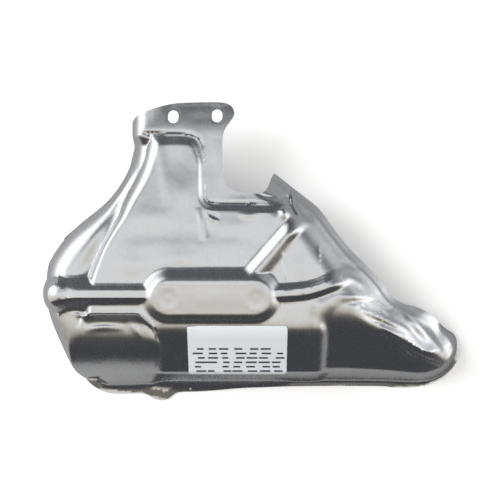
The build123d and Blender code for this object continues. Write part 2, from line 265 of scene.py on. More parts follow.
# Level and tint of the room across the sheet, from the dark front over the strip overhead to the dark rear
STRIP = (
    (-0.62, 0.07, "#f4f6ff"),
    (-0.5, 0.16, "#fff6e6"),
    (-0.4, 0.54, "#fff6e6"),
    (-0.28, 0.86, "#fff8ea"),
    (-0.14, 0.89, "#fffbf4"),
    (0.0, 1.26, "#fdfeff"),
    (0.1, 0.99, "#fafcff"),
    (0.2, 0.46, "#f6f9ff"),
    (0.32, 0.18, "#f4f8ff"),
    (0.46, 0.11, "#f4f8ff"),
)

# Soft windows: direction, how closely a direction must agree at the rim and in full light, and level
WINDOWS = (
    ((-0.72, 0.46, 0.52), 0.78, 1.0, 1.65),
    ((0.95, 0.05, 0.3), 0.78, 0.98, 0.66),
    ((0.74, 0.66, 0.1), 0.7, 0.95, 0.34),
)


def smooth_min(a, b, width):
    """Lesser of two heights, rounded where they meet."""
    share = np.clip(0.5 + 0.5 * (b - a) / width, 0.0, 1.0)
    return b * (1.0 - share) + a * share - width * share * (1.0 - share)


def smooth_max(a, b, width):
    """Greater of two heights, rounded where they meet."""
    return -smooth_min(-a, -b, width)


def ease(t):
    """Rises from 0 to 1 with level ends."""
    t = np.clip(t, 0.0, 1.0)
    return t * t * (3.0 - 2.0 * t)


def ramp(value, start, run):
    """Rises from 0 to 1 over a run from its start; a negative run goes towards lesser values."""
    return ease((value - start) / run)


def bell(away, reach):
    """Falls softly from 1 to 0 on both sides."""
    return np.exp(-((away / reach) ** 2))


def corner_cut(points, rounds=3, closed=False):
    """Rounds a polyline by cutting its corners."""
    line = np.array(points, float)
    for _ in range(rounds):
        after = np.roll(line, -1, axis=0) if closed else line[1:]
        before = line if closed else line[:-1]
        pairs = (0.75 * before + 0.25 * after, 0.25 * before + 0.75 * after)
        cut = np.stack(pairs, axis=1).reshape(-1, line.shape[1])
        line = cut if closed else np.vstack((line[:1], cut, line[-1:]))
    return line


def side_and_run(line, x, y):
    """Distance from a line in plan, positive on its left, and the place along it from 0 to 1."""
    best = np.full(x.shape, 1e9)
    sign = np.ones(x.shape)
    place = np.zeros(x.shape)
    for number, ((ax, ay), (bx, by)) in enumerate(zip(line[:-1], line[1:])):
        ux, uy = bx - ax, by - ay
        run = ux * ux + uy * uy
        if run < 1e-12:
            continue
        t = np.clip(((x - ax) * ux + (y - ay) * uy) / run, 0.0, 1.0)
        px, py = x - ax - t * ux, y - ay - t * uy
        gap = px * px + py * py
        near = gap < best
        best = np.where(near, gap, best)
        place = np.where(near, (number + t) / (len(line) - 1), place)
        sign = np.where(near, np.where(ux * (y - ay) - uy * (x - ax) >= 0.0, 1.0, -1.0), sign)
    return sign * np.sqrt(best), place


def side_of(line, x, y):
    """Distance from a line in plan, positive on its left."""
    return side_and_run(line, x, y)[0]


def wall_section(y, rim, crown, height, foot):
    """Height of a wall of two tangent arcs that rises from its rim to a level crown."""
    run = crown - rim
    brow = (run * run + height * height - 2.0 * run * foot) / (2.0 * (height - foot))
    lean = math.atan2(run - foot, brow - height)
    change = rim + foot - foot * math.cos(math.pi / 2.0 - lean)
    low = np.sqrt(np.maximum(foot**2 - (y - rim - foot) ** 2, 0.0))
    high = height - brow + np.sqrt(np.maximum(brow**2 - (np.minimum(y, crown) - crown) ** 2, 0.0))
    return np.where(y < rim, 4.0 * (y - rim), np.where(y < change, low, high))


def slope_wall(inside, top, slope, crown, steep):
    """Height of a wall that climbs steeply from its foot, then at one slope to its rounded crown."""
    climb = smooth_min(steep * inside, top - slope * (crown - inside), 3.0)
    return smooth_min(climb, top, 5.0)


def add_wrinkle(z, x, y, line, width, height):
    """Adds a soft ridge, or a groove where its height is negative, that dies out at both ends."""
    reach = 2.6 * width
    low, high = line.min(axis=0) - reach, line.max(axis=0) + reach
    near = np.nonzero((x > low[0]) & (x < high[0]) & (y > low[1]) & (y < high[1]))[0]
    away, run = side_and_run(line, x[near], y[near])
    z[near] += height * ease(2.0 * np.minimum(run, 1.0 - run)) * bell(away, width)


class Form:
    """The drawn sheet's outer face as a height over the plan, in millimetres."""

    def __init__(self, sizes):
        self.deck = sizes.deck_height / MM
        self.panel = sizes.panel_height / MM
        self.rib = sizes.rib_height / MM
        self.pad = sizes.pad_height / MM
        self.lip = sizes.thickness / MM
        self.roll = sizes.flank_radius / MM
        self.flank_line = corner_cut(FLANK, 2)
        self.valley_line = corner_cut(VALLEY, 2)
        self.step_line = corner_cut(STEP, 2)
        self.foot_line = corner_cut(NOSE_FOOT, 3)
        skirt = corner_cut(SKIRT, 5)
        self.skirt_line, self.skirt_edge = skirt[:, :2], skirt[:, 2]
        self.right_rib = corner_cut(RIGHT_RIB)
        self.cross_rib = np.array(CROSS_RIB)
        self.wrinkles = [(corner_cut(line, 2), width, height) for line, width, height in WRINKLES]

    def flank(self, x, y, valley, step):
        """The deck and tab, rolling down over the flank, with grooves beside the valley and the step."""
        inside = side_of(self.flank_line, x, y)
        roll = self.roll - TAB_ROLL_LESS * ramp(y, 76.0, 9.0)
        away = np.clip(roll - inside, 0.0, roll)
        # The flange and the tab's root stand nearly as high as the panel, the tab leans back
        level = self.deck + FLANGE_LIFT * ramp(x, -86.0, 26.0) * ramp(y, 12.0, 12.0)
        level = level - TAB_LEAN * np.clip(y - TAB_ROOT, 0.0, TAB_RUN) + TAB_UPTURN * ramp(y, 104.8, 2.6)
        # The sheet sinks a little round each slot
        for cx, cy in SLOTS:
            gap = np.hypot(x - cx, np.maximum(np.abs(y - cy) - 1.0, 0.0)) - SLOT_WIDTH / 2.0
            level = level - SLOT_SINK * bell(gap, SLOT_SINK_REACH)
        z = level - roll + np.sqrt(roll**2 - away**2)
        z = np.where(inside < 0.0, (level - roll) * (1.0 + inside / FLANK_DROP), z)
        groove = VALLEY_DEPTH * bell(valley, VALLEY_REACH) * ramp(y, 72.0, -30.0) * ramp(y, -24.0, 20.0)
        reach = 3.2 + 2.8 * (ramp(y, 72.0, 8.0) + ramp(y, 44.0, -8.0))
        depth = GROOVE_DEPTH + TAB_GROOVE_MORE * ramp(y, 66.0, 14.0)
        along_step = depth * ease((step + reach) / (reach + 0.6)) * ramp(x, -80.0, 10.0)
        z = z - groove * ramp(inside, 4.0, 6.0) - along_step
        return smooth_min(z, wall_section(y, rim=-91.0, crown=-42.0, height=self.deck + 1.0, foot=28.0), 1.5)

    def raised(self, x, y, valley, step):
        """The raised neck and panel, with a shoulder beside the valley and a step elsewhere."""
        shoulder = 8.0 + 4.5 * ramp(y, 10.0, 50.0)
        t = np.clip(valley / shoulder, 0.0, 1.0)
        sway = PANEL_SWAY * np.tanh((y - 8.0) / 5.5) * ramp(x, -100.0, 20.0) * ramp(x, 14.0, -30.0)
        top = self.panel - NECK_DROP * ramp(y, 20.0, 55.0)
        crown = top + sway - SHOULDER_DROP * (1.0 - np.sqrt(1.0 - (1.0 - t) ** 2))
        crown = np.where(valley < 0.0, self.panel - SHOULDER_DROP + SHOULDER_WALL * valley, crown)
        # A groove runs along the step, with a longer rise towards the tab
        brow = ramp(y, 62.0, 18.0)
        start, run = 3.0 - 1.5 * brow, 6.5 + 3.5 * brow
        low = self.deck + 0.8
        rise = low + (top - low) * ease((step + start) / run) + 2.0 * np.minimum(step + start, 0.0)
        return smooth_min(crown, rise, 0.6)

    def nose(self, x, y):
        """The long bulge on the right, rolling down to its foot."""
        inside = side_of(self.foot_line, x, y)
        along = np.array(BULGE_AT) / 100.0
        top = np.maximum(np.polyval(np.polyfit(along, BULGE_TOP, 4), x / 100.0), 6.0)
        width = np.maximum(np.polyval(np.polyfit(along, BULGE_WIDTH, 4), x / 100.0), 8.0)
        z = slope_wall(inside, top, BULGE_SLOPE * top / width, BULGE_CROWN * width, BULGE_STEEP)
        z = z - 0.05 * np.clip(y + 36.0, 0.0, 30.0) ** 2 * ramp(x, 84.0, -16.0)
        return np.where(x > 30.0, z - 0.02 * np.clip(48.0 - x, 0.0, 20.0) ** 2, -8.0)

    def belly(self, x, y):
        """The fuller wall left of the label, which falls off again above its crown and to the left."""
        crown = BELLY_FOOT + BELLY["crown"]
        z = slope_wall(y - BELLY_FOOT, self.panel - BELLY_DROP, **BELLY)
        z = z - 0.5 * np.clip((y - crown - 3.0) / 3.0, 0.0, 2.0) ** 2
        left = -122.0 + 14.0 * np.clip((-60.0 - y) / 40.0, 0.0, 2.0) ** 1.6
        room = x - left
        return z - np.where(room < 7.0, 0.06 * (room - 7.0) ** 2 + np.maximum(-room, 0.0) * 1.5, 0.0)

    def skirt(self, x, y):
        """The slope down to the long edge on the right, with a faint bead along it."""
        z = np.full(x.shape, 99.0)
        near = np.nonzero((x > -12.0) & (y < 62.0) & (x + 1.3 * y > 10.0))[0]
        away, run = side_and_run(self.skirt_line, x[near], y[near])
        edge = np.interp(run, np.linspace(0.0, 1.0, len(self.skirt_edge)), self.skirt_edge)
        slope = SKIRT_SLOPE - SKIRT_EASING * x[near]
        z[near] = edge - slope * away + BEAD_HEIGHT * bell(-away - BEAD_AT, BEAD_REACH)
        return z

    def boss(self, x, y):
        """The pad with its dimples."""
        away = np.hypot(np.maximum(np.abs(x - PAD_X) - PAD_HALF_RUN, 0.0), y - PAD_Y) - PAD_RADIUS
        level = self.pad + PAD_LEAN * (y + 17.0)
        top = smooth_min(level, level - PAD_WALL * away, 1.8)
        for cx, cy in DIMPLES:
            r = np.hypot(x - cx, y - cy)
            top = top - DIMPLE_DEPTH * (1.0 - ramp(r, 2.8, 4.6)) + DIMPLE_RIM * bell(r - 7.8, 1.1)
        return top

    def left_bar(self, x, y):
        """The left rib and the round head in which it ends over the rim."""
        t = np.clip((-122.0 - x) / 31.0, 0.0, 1.0)
        top = self.rib - 9.0 * t**2
        wall = np.maximum(np.abs(y - LEFT_RIB_Y) - LEFT_RIB_FLAT - 9.0 * t**2, 0.0)
        z = smooth_min(top - LEFT_RIB_WALL * wall, top, 1.5 + 5.0 * t)
        z = np.where(x > -38.0, z - 3.0 * (x + 38.0), z)
        out, into = np.minimum(x - HEAD_X, 0.0) / HEAD_OUT, np.maximum(x - HEAD_X, 0.0) / HEAD_IN
        round_off = np.maximum(1.0 - out**2 - into**2 - ((y - HEAD_Y) / HEAD_UP) ** 2, 0.0)
        head = HEAD_TOP * round_off**0.45 - 8.0 * (round_off == 0.0)
        z = np.where(x < HEAD_X, np.minimum(z, 46.0 * round_off**0.45), z)
        return smooth_max(z, head, 7.0)

    def right_bars(self, x, y):
        """Relief of the curved rib and the cross rib, which die out towards the skirt."""
        rise = self.rib - self.panel
        away = np.abs(side_of(self.right_rib, x, y))
        curved = (1.0 - ramp(away, 1.8, 5.6)) * (1.0 - ramp(x, 62.0, 22.0)) * ramp(x, 4.0, 8.0)
        away, run = side_and_run(self.cross_rib, x, y)
        # The middle of the right-hand wall is the steepest
        reach = np.where(away < 0.0, 8.4 - 3.4 * bell(run - 0.60, 0.14), 8.6)
        across = (1.0 - ramp(np.abs(away), 0.6, reach)) * (1.0 - ramp(run, 0.82, 0.22)) * ease(run / 0.06)
        return rise * smooth_max(curved, 1.1 * across, 0.2) - 0.05 * rise

    def height(self, x, y):
        """Height of the sheet's outer face."""
        valley = side_of(self.valley_line, x, y)
        step = -side_of(self.step_line, x, y)
        z = self.flank(x, y, valley, step)
        wall = slope_wall(y - LABEL_WALL_FOOT, self.panel + 0.5, **LABEL_WALL)
        body = smooth_min(self.raised(x, y, valley, step), wall, 1.0)
        # The label wall and the belly meet in a bent step, which fades towards the foot
        bend = -68.5 - 11.0 * ramp(y, -54.0, 14.0)
        side = ease((x - bend) / (4.0 + 9.0 * ramp(y, -54.0, -10.0)) + 0.5)
        under = ramp(y, -40.2, -2.6) * (1.0 - side)
        body = body - 0.4 * ramp(y, -33.0, -3.0) * ramp(x, -76.0, -4.0)
        body = body * (1.0 - under) + self.belly(x, y) * under
        # Both end at the valley beside the bulge
        end = 0.06 * np.clip(x - 44.0, 0.0, None) ** 2 * ramp(y, -28.0, -22.0)
        z, body = z - end, body - end
        fade = ramp(y, 4.0, -16.0) * ramp(y, -40.0, 8.0) * ramp(x, -88.0, -10.0)
        soft_groove = ramp(y, 20.0, 8.0) * ramp(x, -74.0, 8.0)
        z = smooth_max(z, body, 0.7 + 5.0 * fade + 1.1 * soft_groove)
        z = smooth_max(z, self.nose(x, y), 3.0 + 2.5 * ramp(y, -52.0, 14.0)) + self.right_bars(x, y)
        rounding = 7.5 - 2.0 * ramp(x, 88.0, 18.0) - 3.0 * ramp(y, 28.0, 10.0)
        z = smooth_min(z, self.skirt(x, y), rounding)
        z = smooth_max(z, self.left_bar(x, y), 1.4)
        z = smooth_max(z, self.boss(x, y), 1.4)
        for (cx, cy), (rx, ry), rise in WAVES:
            z = z + rise * np.exp(-(((x - cx) / rx) ** 2) - ((y - cy) / ry) ** 2)
        for line, width, rise in self.wrinkles:
            add_wrinkle(z, x, y, line, width, rise)
        brink = np.interp(x, BRINK_X, BRINK_Y)
        lip = self.lip + LIP_LEAN * np.clip(y - brink, 0.0, 6.0)
        return smooth_max(z, lip, 0.8 + 2.0 * ramp(y, -84.0, -6.0))


def inside_of(loop, x, y):
    """True where a point lies inside a closed loop."""
    hit = np.zeros(x.shape, bool)
    for (ax, ay), (bx, by) in zip(loop, np.roll(loop, -1, axis=0)):
        if ay == by:
            continue
        hit ^= ((ay > y) != (by > y)) & (x < ax + (y - ay) * (bx - ax) / (by - ay))
    return hit


def even_loop(loop, spacing):
    """A closed loop with points at an even spacing."""
    ring = np.vstack((loop, loop[:1]))
    run = np.concatenate(([0.0], np.cumsum(np.hypot(*np.diff(ring, axis=0).T))))
    count = max(8, round(run[-1] / spacing))
    at = np.arange(count) * run[-1] / count
    return np.stack((np.interp(at, run, ring[:, 0]), np.interp(at, run, ring[:, 1])), axis=1)


def slot_loop(centre, width, length):
    """Outline of an upright slot with round ends."""
    turn = np.linspace(0.0, math.pi, 13)
    rise = (length - width) / 2.0
    top = np.stack((np.cos(turn) * width / 2.0, np.sin(turn) * width / 2.0 + rise), axis=1)
    return np.vstack((top, -top)) + np.array(centre)


def rounded_rectangle(low, high, radii):
    """Outline of a rectangle with a rounding at each corner, from the lower left one anticlockwise."""
    loop = []
    corners = ((low.x, low.y, 1, 1), (high.x, low.y, -1, 1), (high.x, high.y, -1, -1), (low.x, high.y, 1, -1))
    for quarter, ((x, y, right, up), radius) in enumerate(zip(corners, radii)):
        turn = math.pi * (1.0 + quarter / 2.0) + np.linspace(0.0, math.pi / 2.0, 7)
        middle = np.array((x + right * radius, y + up * radius))
        loop.append(middle + radius * np.stack((np.cos(turn), np.sin(turn)), axis=1))
    return np.vstack(loop)


def plan_triangles(edge, holes, spacing):
    """Triangles over the plan inside the trimmed edge and outside the holes."""
    loops = [even_loop(edge, spacing * EDGE_SHARE)]
    loops += [even_loop(hole, spacing * HOLE_SHARE) for hole in holes]
    low, high = loops[0].min(axis=0), loops[0].max(axis=0)
    rows = np.arange(low[1], high[1], spacing * ROW_SHARE)
    columns = np.arange(low[0], high[0], spacing)
    x = (columns[None, :] + (np.arange(len(rows)) % 2)[:, None] * spacing / 2.0).ravel()
    y = np.repeat(rows, len(columns))
    keep = inside_of(loops[0], x, y)
    for loop in loops[1:]:
        keep &= ~inside_of(loop, x, y)
    for loop in loops:
        ring = np.vstack((loop, loop[:1]))
        keep &= np.abs(side_of(ring, x, y)) > spacing * CLEAR_SHARE
    points = np.vstack(loops + [np.stack((x[keep], y[keep]), axis=1)])
    rims = []
    start = 0
    for loop in loops:
        index = np.arange(len(loop)) + start
        rims += list(zip(index.tolist(), np.roll(index, -1).tolist()))
        start += len(loop)
    made = delaunay_2d_cdt([tuple(p) for p in points], rims, [], 0, 1e-5)
    points = np.array([tuple(v) for v in made[0]])
    faces = np.array(made[2])
    middle = points[faces].mean(axis=1)
    keep = inside_of(loops[0], middle[:, 0], middle[:, 1])
    for loop in loops[1:]:
        keep &= ~inside_of(loop, middle[:, 0], middle[:, 1])
    return points, faces[keep]


def split_long(points, faces, form):
    """Halves each edge that is too long on the sheet, or that bows too far from it."""
    z = form.height(points[:, 0], points[:, 1])
    for _ in range(MOST_HALVINGS):
        pairs = np.sort(np.stack((faces, np.roll(faces, -1, axis=1)), axis=2).reshape(-1, 2), axis=1)
        edges, which = np.unique(pairs, axis=0, return_inverse=True)
        which = which.reshape(-1, 3)
        a, b = edges.T
        middle = (points[a] + points[b]) / 2.0
        lift = form.height(middle[:, 0], middle[:, 1])
        length = np.sqrt(((points[a] - points[b]) ** 2).sum(axis=1) + (z[a] - z[b]) ** 2)
        bow = np.abs(lift - (z[a] + z[b]) / 2.0)
        slope = np.sqrt(((points[a] - points[b]) ** 2).sum(axis=1)) / np.maximum(length, 1e-9)
        cut = (length > LONGEST_EDGE) | ((bow * slope > FARTHEST_BOW) & (length > SHORTEST_EDGE))
        if not cut.any():
            break
        number = np.full(len(edges), -1)
        number[cut] = len(points) + np.arange(cut.sum())
        points = np.vstack((points, middle[cut]))
        z = np.concatenate((z, lift[cut]))
        mids = number[which]
        count = (mids >= 0).sum(axis=1)
        parts = [faces[count == 0]]
        for want in (1, 2, 3):
            rows = np.nonzero(count == want)[0]
            if not len(rows):
                continue
            f, m = faces[rows], mids[rows]
            turn = np.argmax(m >= 0, axis=1) if want == 1 else (np.argmin(m, axis=1) + 1) % 3
            order = (turn[:, None] + np.arange(3)) % 3
            f, m = np.take_along_axis(f, order, 1), np.take_along_axis(m, order, 1)
            p, q, r = f.T
            u, v, w = m.T
            if want == 1:
                parts += [np.stack((p, u, r), 1), np.stack((u, q, r), 1)]
            elif want == 2:
                solid = np.column_stack((points, z))
                first = ((solid[p] - solid[v]) ** 2).sum(1) < ((solid[u] - solid[r]) ** 2).sum(1)
                parts.append(np.stack((u, q, v), 1))
                parts.append(np.where(first[:, None], np.stack((p, u, v), 1), np.stack((p, u, r), 1)))
                parts.append(np.where(first[:, None], np.stack((p, v, r), 1), np.stack((u, v, r), 1)))
            else:
                parts += [np.stack((p, u, w), 1), np.stack((u, q, v), 1)]
                parts += [np.stack((w, v, r), 1), np.stack((u, v, w), 1)]
        faces = np.vstack(parts)
    return points, z, faces


def sheet_normals(form, points, reach=0.12):
    """Unit normals of the sheet's outer face."""
    x, y = points.T
    dx = (form.height(x + reach, y) - form.height(x - reach, y)) / (2.0 * reach)
    dy = (form.height(x, y + reach) - form.height(x, y - reach)) / (2.0 * reach)
    normal = np.stack((-dx, -dy, np.ones_like(dx)), axis=1)
    return normal / np.linalg.norm(normal, axis=1)[:, None]


def shell_mesh(name, outer, normals, faces, thickness):
    """A closed sheet: an outer face, an inner face one thickness below it, and the cut edge between them."""
    count = len(outer)
    inner = outer - normals * thickness
    pairs = np.stack((faces, np.roll(faces, -1, axis=1)), axis=2).reshape(-1, 2)
    keys = np.sort(pairs, axis=1)
    first, uses = np.unique(keys, axis=0, return_index=True, return_counts=True)[1:]
    a, b = pairs[first[uses == 1]].T
    rim = np.stack((b, a, a + count, b + count), axis=1)
    mesh = bpy.data.meshes.new(name)
    mesh.from_pydata(
        (np.vstack((outer, inner)) * MM).tolist(),
        [],
        faces.tolist() + (faces[:, ::-1] + count).tolist() + rim.tolist(),
    )
    mesh.polygons.foreach_set("use_smooth", np.ones(len(mesh.polygons), bool))
    corner = np.zeros(len(mesh.loops), np.int32)
    mesh.loops.foreach_get("vertex_index", corner)
    both = np.vstack((normals, -normals))[corner]
    flat = np.zeros((len(mesh.polygons), 3), np.float32)
    mesh.polygons.foreach_get("normal", flat.ravel())
    both[6 * len(faces):] = np.repeat(flat[2 * len(faces):], 4, axis=0)
    mesh.normals_split_custom_set(both.tolist())
    return mesh


def linear(colour):
    """Linear RGBA from an sRGB hex value."""
    parts = [int(colour[i:i + 2], 16) / 255.0 for i in (1, 3, 5)]
    return (*[c / 12.92 if c <= 0.04045 else ((c + 0.055) / 1.055) ** 2.4 for c in parts], 1.0)


def node(tree, kind, links=None, **settings):
    """Adds a node with its settings and input values, linked from the sockets given."""
    made = tree.nodes.new(kind)
    for key, value in settings.items():
        setattr(made, key, value)
    for key, value in (links or {}).items():
        socket = made.inputs[key]
        if isinstance(value, bpy.types.NodeSocket):
            tree.links.new(value, socket)
        else:
            socket.default_value = value
    return made


def new_material(name):
    """An empty node material."""
    made = bpy.data.materials.new(name)
    made.use_nodes = True
    made.node_tree.nodes.clear()
    return made, made.node_tree


def aluminium_material(looks):
    """Bare rolled aluminium: a bright soft mirror with a fine grain, faint waves and hairline scuffs."""
    made, tree = new_material("bare_rolled_aluminium")
    spot = node(tree, "ShaderNodeTexCoord").outputs["Object"]
    grain = node(tree, "ShaderNodeTexNoise", {"Vector": spot, "Scale": 1.0 / looks.grain_size, "Detail": 3.0})
    wave = node(tree, "ShaderNodeTexNoise", {"Vector": spot, "Scale": 1.0 / looks.wave_size, "Detail": 2.0})
    # Hairline scuffs: noise drawn out sixteen times along one slant
    slant = node(
        tree, "ShaderNodeMapping",
        {"Vector": spot, "Rotation": (0.0, 0.0, SCUFF_TURN),
         "Scale": (1.0 / SCUFF_WIDTH, 1.0 / SCUFF_LENGTH, 1.0 / SCUFF_LENGTH)},
    )
    scuff = node(tree, "ShaderNodeTexNoise", {"Vector": slant.outputs["Vector"], "Scale": 1.0, "Detail": 2.0})
    worn = node(
        tree, "ShaderNodeMapRange",
        {"Value": scuff.outputs["Fac"], "From Min": 0.62, "From Max": 0.75, "To Min": looks.roughness,
         "To Max": looks.roughness + 0.08},
    )
    low = node(tree, "ShaderNodeBump", {"Height": wave.outputs["Fac"], "Strength": 0.45, "Distance": 0.0004})
    relief = node(
        tree, "ShaderNodeBump",
        {"Height": grain.outputs["Fac"], "Strength": 0.07, "Distance": 0.0002,
         "Normal": low.outputs["Normal"]},
    )
    shader = node(
        tree, "ShaderNodeBsdfPrincipled",
        {"Base Color": linear("#d2d3d5"), "Metallic": 1.0, "Roughness": worn.outputs["Result"],
         "Normal": relief.outputs["Normal"]},
    )
    node(tree, "ShaderNodeOutputMaterial", {"Surface": shader.outputs["BSDF"]})
    return made


def paper_material():
    """Coated white label paper: smooth, matt and faintly cool."""
    made, tree = new_material("coated_label_paper")
    spot = node(tree, "ShaderNodeTexCoord").outputs["Object"]
    fibre = node(tree, "ShaderNodeTexNoise", {"Vector": spot, "Scale": 1.0 / 0.0006, "Detail": 4.0})
    relief = node(
        tree, "ShaderNodeBump", {"Height": fibre.outputs["Fac"], "Strength": 0.1, "Distance": 0.0001},
    )
    shader = node(
        tree, "ShaderNodeBsdfPrincipled",
        {"Base Color": linear("#d9dde1"), "Roughness": 0.55, "Normal": relief.outputs["Normal"]},
    )
    node(tree, "ShaderNodeOutputMaterial", {"Surface": shader.outputs["BSDF"]})
    return made


def ink_material():
    """Black printing ink, dried matt and a little grey."""
    made, tree = new_material("printing_ink")
    shader = node(tree, "ShaderNodeBsdfPrincipled", {"Base Color": linear("#3c3d42"), "Roughness": 0.6})
    node(tree, "ShaderNodeOutputMaterial", {"Surface": shader.outputs["BSDF"]})
    return made


def dash_tree(ink):
    """Nodes that lay rows of dashes of uneven length on a sheet from above."""
    tree = bpy.data.node_groups.new("label_dashes", "GeometryNodeTree")
    kinds = {
        "Sheet": "Object", "Middle": "Vector", "Width": "Float", "Height": "Float",
        "Columns": "Int", "Rows": "Int", "Dash Length": "Float", "Dash Height": "Float", "Seed": "Int",
    }
    for name, kind in kinds.items():
        tree.interface.new_socket(name, in_out="INPUT", socket_type="NodeSocket" + kind)
    tree.interface.new_socket("Geometry", in_out="OUTPUT", socket_type="NodeSocketGeometry")
    given = node(tree, "NodeGroupInput").outputs
    spots = node(
        tree, "GeometryNodeMeshGrid",
        {"Size X": given["Width"], "Size Y": given["Height"], "Vertices X": given["Columns"],
         "Vertices Y": given["Rows"]},
    )
    above = node(
        tree, "GeometryNodeTransform", {"Geometry": spots.outputs["Mesh"], "Translation": given["Middle"]},
    )
    shift = node(
        tree, "FunctionNodeRandomValue",
        {0: (-DASH_SHIFT, 0.0, 0.0), 1: (DASH_SHIFT, 0.0, 0.0), 8: given["Seed"]},
        data_type="FLOAT_VECTOR",
    )
    apart = node(
        tree, "GeometryNodeSetPosition", {"Geometry": above.outputs["Geometry"], "Offset": shift.outputs[0]},
    )
    dash = node(
        tree, "GeometryNodeMeshGrid",
        {"Size X": given["Dash Length"], "Size Y": given["Dash Height"], "Vertices X": 7, "Vertices Y": 3},
    )
    length = node(
        tree, "FunctionNodeRandomValue", {2: DASH_SHORTEST, 3: DASH_LONGEST, 8: given["Seed"]},
        data_type="FLOAT",
    )
    kept = node(tree, "FunctionNodeRandomValue", {6: DASHES_KEPT, 8: given["Seed"]}, data_type="BOOLEAN")
    size = node(tree, "ShaderNodeCombineXYZ", {"X": length.outputs[1], "Y": 1.0, "Z": 1.0})
    placed = node(
        tree, "GeometryNodeInstanceOnPoints",
        {"Points": apart.outputs["Geometry"], "Selection": kept.outputs[3], "Instance": dash.outputs["Mesh"],
         "Scale": size.outputs["Vector"]},
    )
    real = node(tree, "GeometryNodeRealizeInstances", {"Geometry": placed.outputs["Instances"]})
    sheet = node(tree, "GeometryNodeObjectInfo", {"Object": given["Sheet"]})
    spot = node(tree, "GeometryNodeInputPosition")
    hit = node(
        tree, "GeometryNodeRaycast",
        {"Target Geometry": sheet.outputs["Geometry"], "Source Position": spot.outputs["Position"],
         "Ray Direction": (0.0, 0.0, -1.0), "Ray Length": 0.2},
    )
    film = node(
        tree, "ShaderNodeVectorMath", {0: hit.outputs["Hit Normal"], "Scale": INK_FILM}, operation="SCALE",
    )
    rest = node(
        tree, "ShaderNodeVectorMath", {0: hit.outputs["Hit Position"], 1: film.outputs["Vector"]},
        operation="ADD",
    )
    laid = node(
        tree, "GeometryNodeSetPosition",
        {"Geometry": real.outputs["Geometry"], "Selection": hit.outputs["Is Hit"],
         "Position": rest.outputs["Vector"]},
    )
    inked = node(tree, "GeometryNodeSetMaterial", {"Geometry": laid.outputs["Geometry"], "Material": ink})
    node(tree, "NodeGroupOutput", {"Geometry": inked.outputs["Geometry"]})
    return tree


def floor_material(sizes):
    """White paper with a faint glow of its own, which the metal mirrors dimmer."""
    made, tree = new_material("white_paper_floor")
    path = node(tree, "ShaderNodeLightPath")
    dim = node(
        tree, "ShaderNodeMath", {0: path.outputs["Is Glossy Ray"], 1: sizes.mirrored - 1.0, 2: 1.0},
        operation="MULTIPLY_ADD",
    )
    grey = node(
        tree, "ShaderNodeVectorMath", {0: linear("#d4d4d4")[:3], "Scale": dim.outputs[0]}, operation="SCALE",
    )
    shader = node(tree, "ShaderNodeBsdfDiffuse", {"Color": grey.outputs[0]})
    seen = node(
        tree, "ShaderNodeMath", {0: path.outputs["Is Camera Ray"], 1: path.outputs["Is Transmission Ray"]},
        operation="ADD",
    )
    glow = node(tree, "ShaderNodeMath", {0: seen.outputs[0], 1: sizes.floor_glow}, operation="MULTIPLY")
    paper = node(tree, "ShaderNodeEmission", {"Color": (1, 1, 1, 1), "Strength": glow.outputs[0]})
    both = node(tree, "ShaderNodeAddShader", {0: shader.outputs[0], 1: paper.outputs[0]})
    node(tree, "ShaderNodeOutputMaterial", {"Surface": both.outputs[0]})
    return made


def studio_world(gain_all):
    """A dark room with a soft strip overhead and soft windows, for the metal to mirror."""
    made = bpy.data.worlds.new("studio")
    made.use_nodes = True
    tree = made.node_tree
    tree.nodes.clear()
    way = node(tree, "ShaderNodeTexCoord").outputs["Generated"]
    axis = node(tree, "ShaderNodeSeparateXYZ", {"Vector": way})
    across = node(
        tree, "ShaderNodeMapRange",
        {"Value": axis.outputs["Y"], "From Min": -1.0, "From Max": 1.0, "To Min": 0.0, "To Max": 1.0},
    )
    strip = node(tree, "ShaderNodeValToRGB", {"Fac": across.outputs["Result"]})
    marks = strip.color_ramp.elements
    for number, (place, gain, tint) in enumerate(STRIP):
        # A new ramp has two marks already
        mark = marks[number] if number < 2 else marks.new(0.5 + place / 2.0)
        mark.position = 0.5 + place / 2.0
        mark.color = [part * gain * gain_all for part in linear(tint)[:3]] + [1.0]
    level = strip.outputs["Color"]
    for aim, rim, full, gain in WINDOWS:
        near = node(tree, "ShaderNodeVectorMath", {0: way, 1: aim}, operation="DOT_PRODUCT")
        glow = node(
            tree, "ShaderNodeMapRange",
            {"Value": near.outputs["Value"], "From Min": rim, "From Max": full, "To Min": 0.0,
             "To Max": gain},
            interpolation_type="SMOOTHSTEP",
        )
        total = node(
            tree, "ShaderNodeMix", {"Factor": 1.0, "A": level, "B": glow.outputs["Result"]},
            data_type="RGBA", blend_type="ADD",
        )
        level = total.outputs[2]
    back = node(tree, "ShaderNodeBackground", {"Color": level, "Strength": 1.0})
    node(tree, "ShaderNodeOutputWorld", {"Surface": back.outputs["Background"]})
    return made


def link_object(name, data):
    """A new object in the scene."""
    made = bpy.data.objects.new(name, data)
    bpy.context.scene.collection.objects.link(made)
    return made


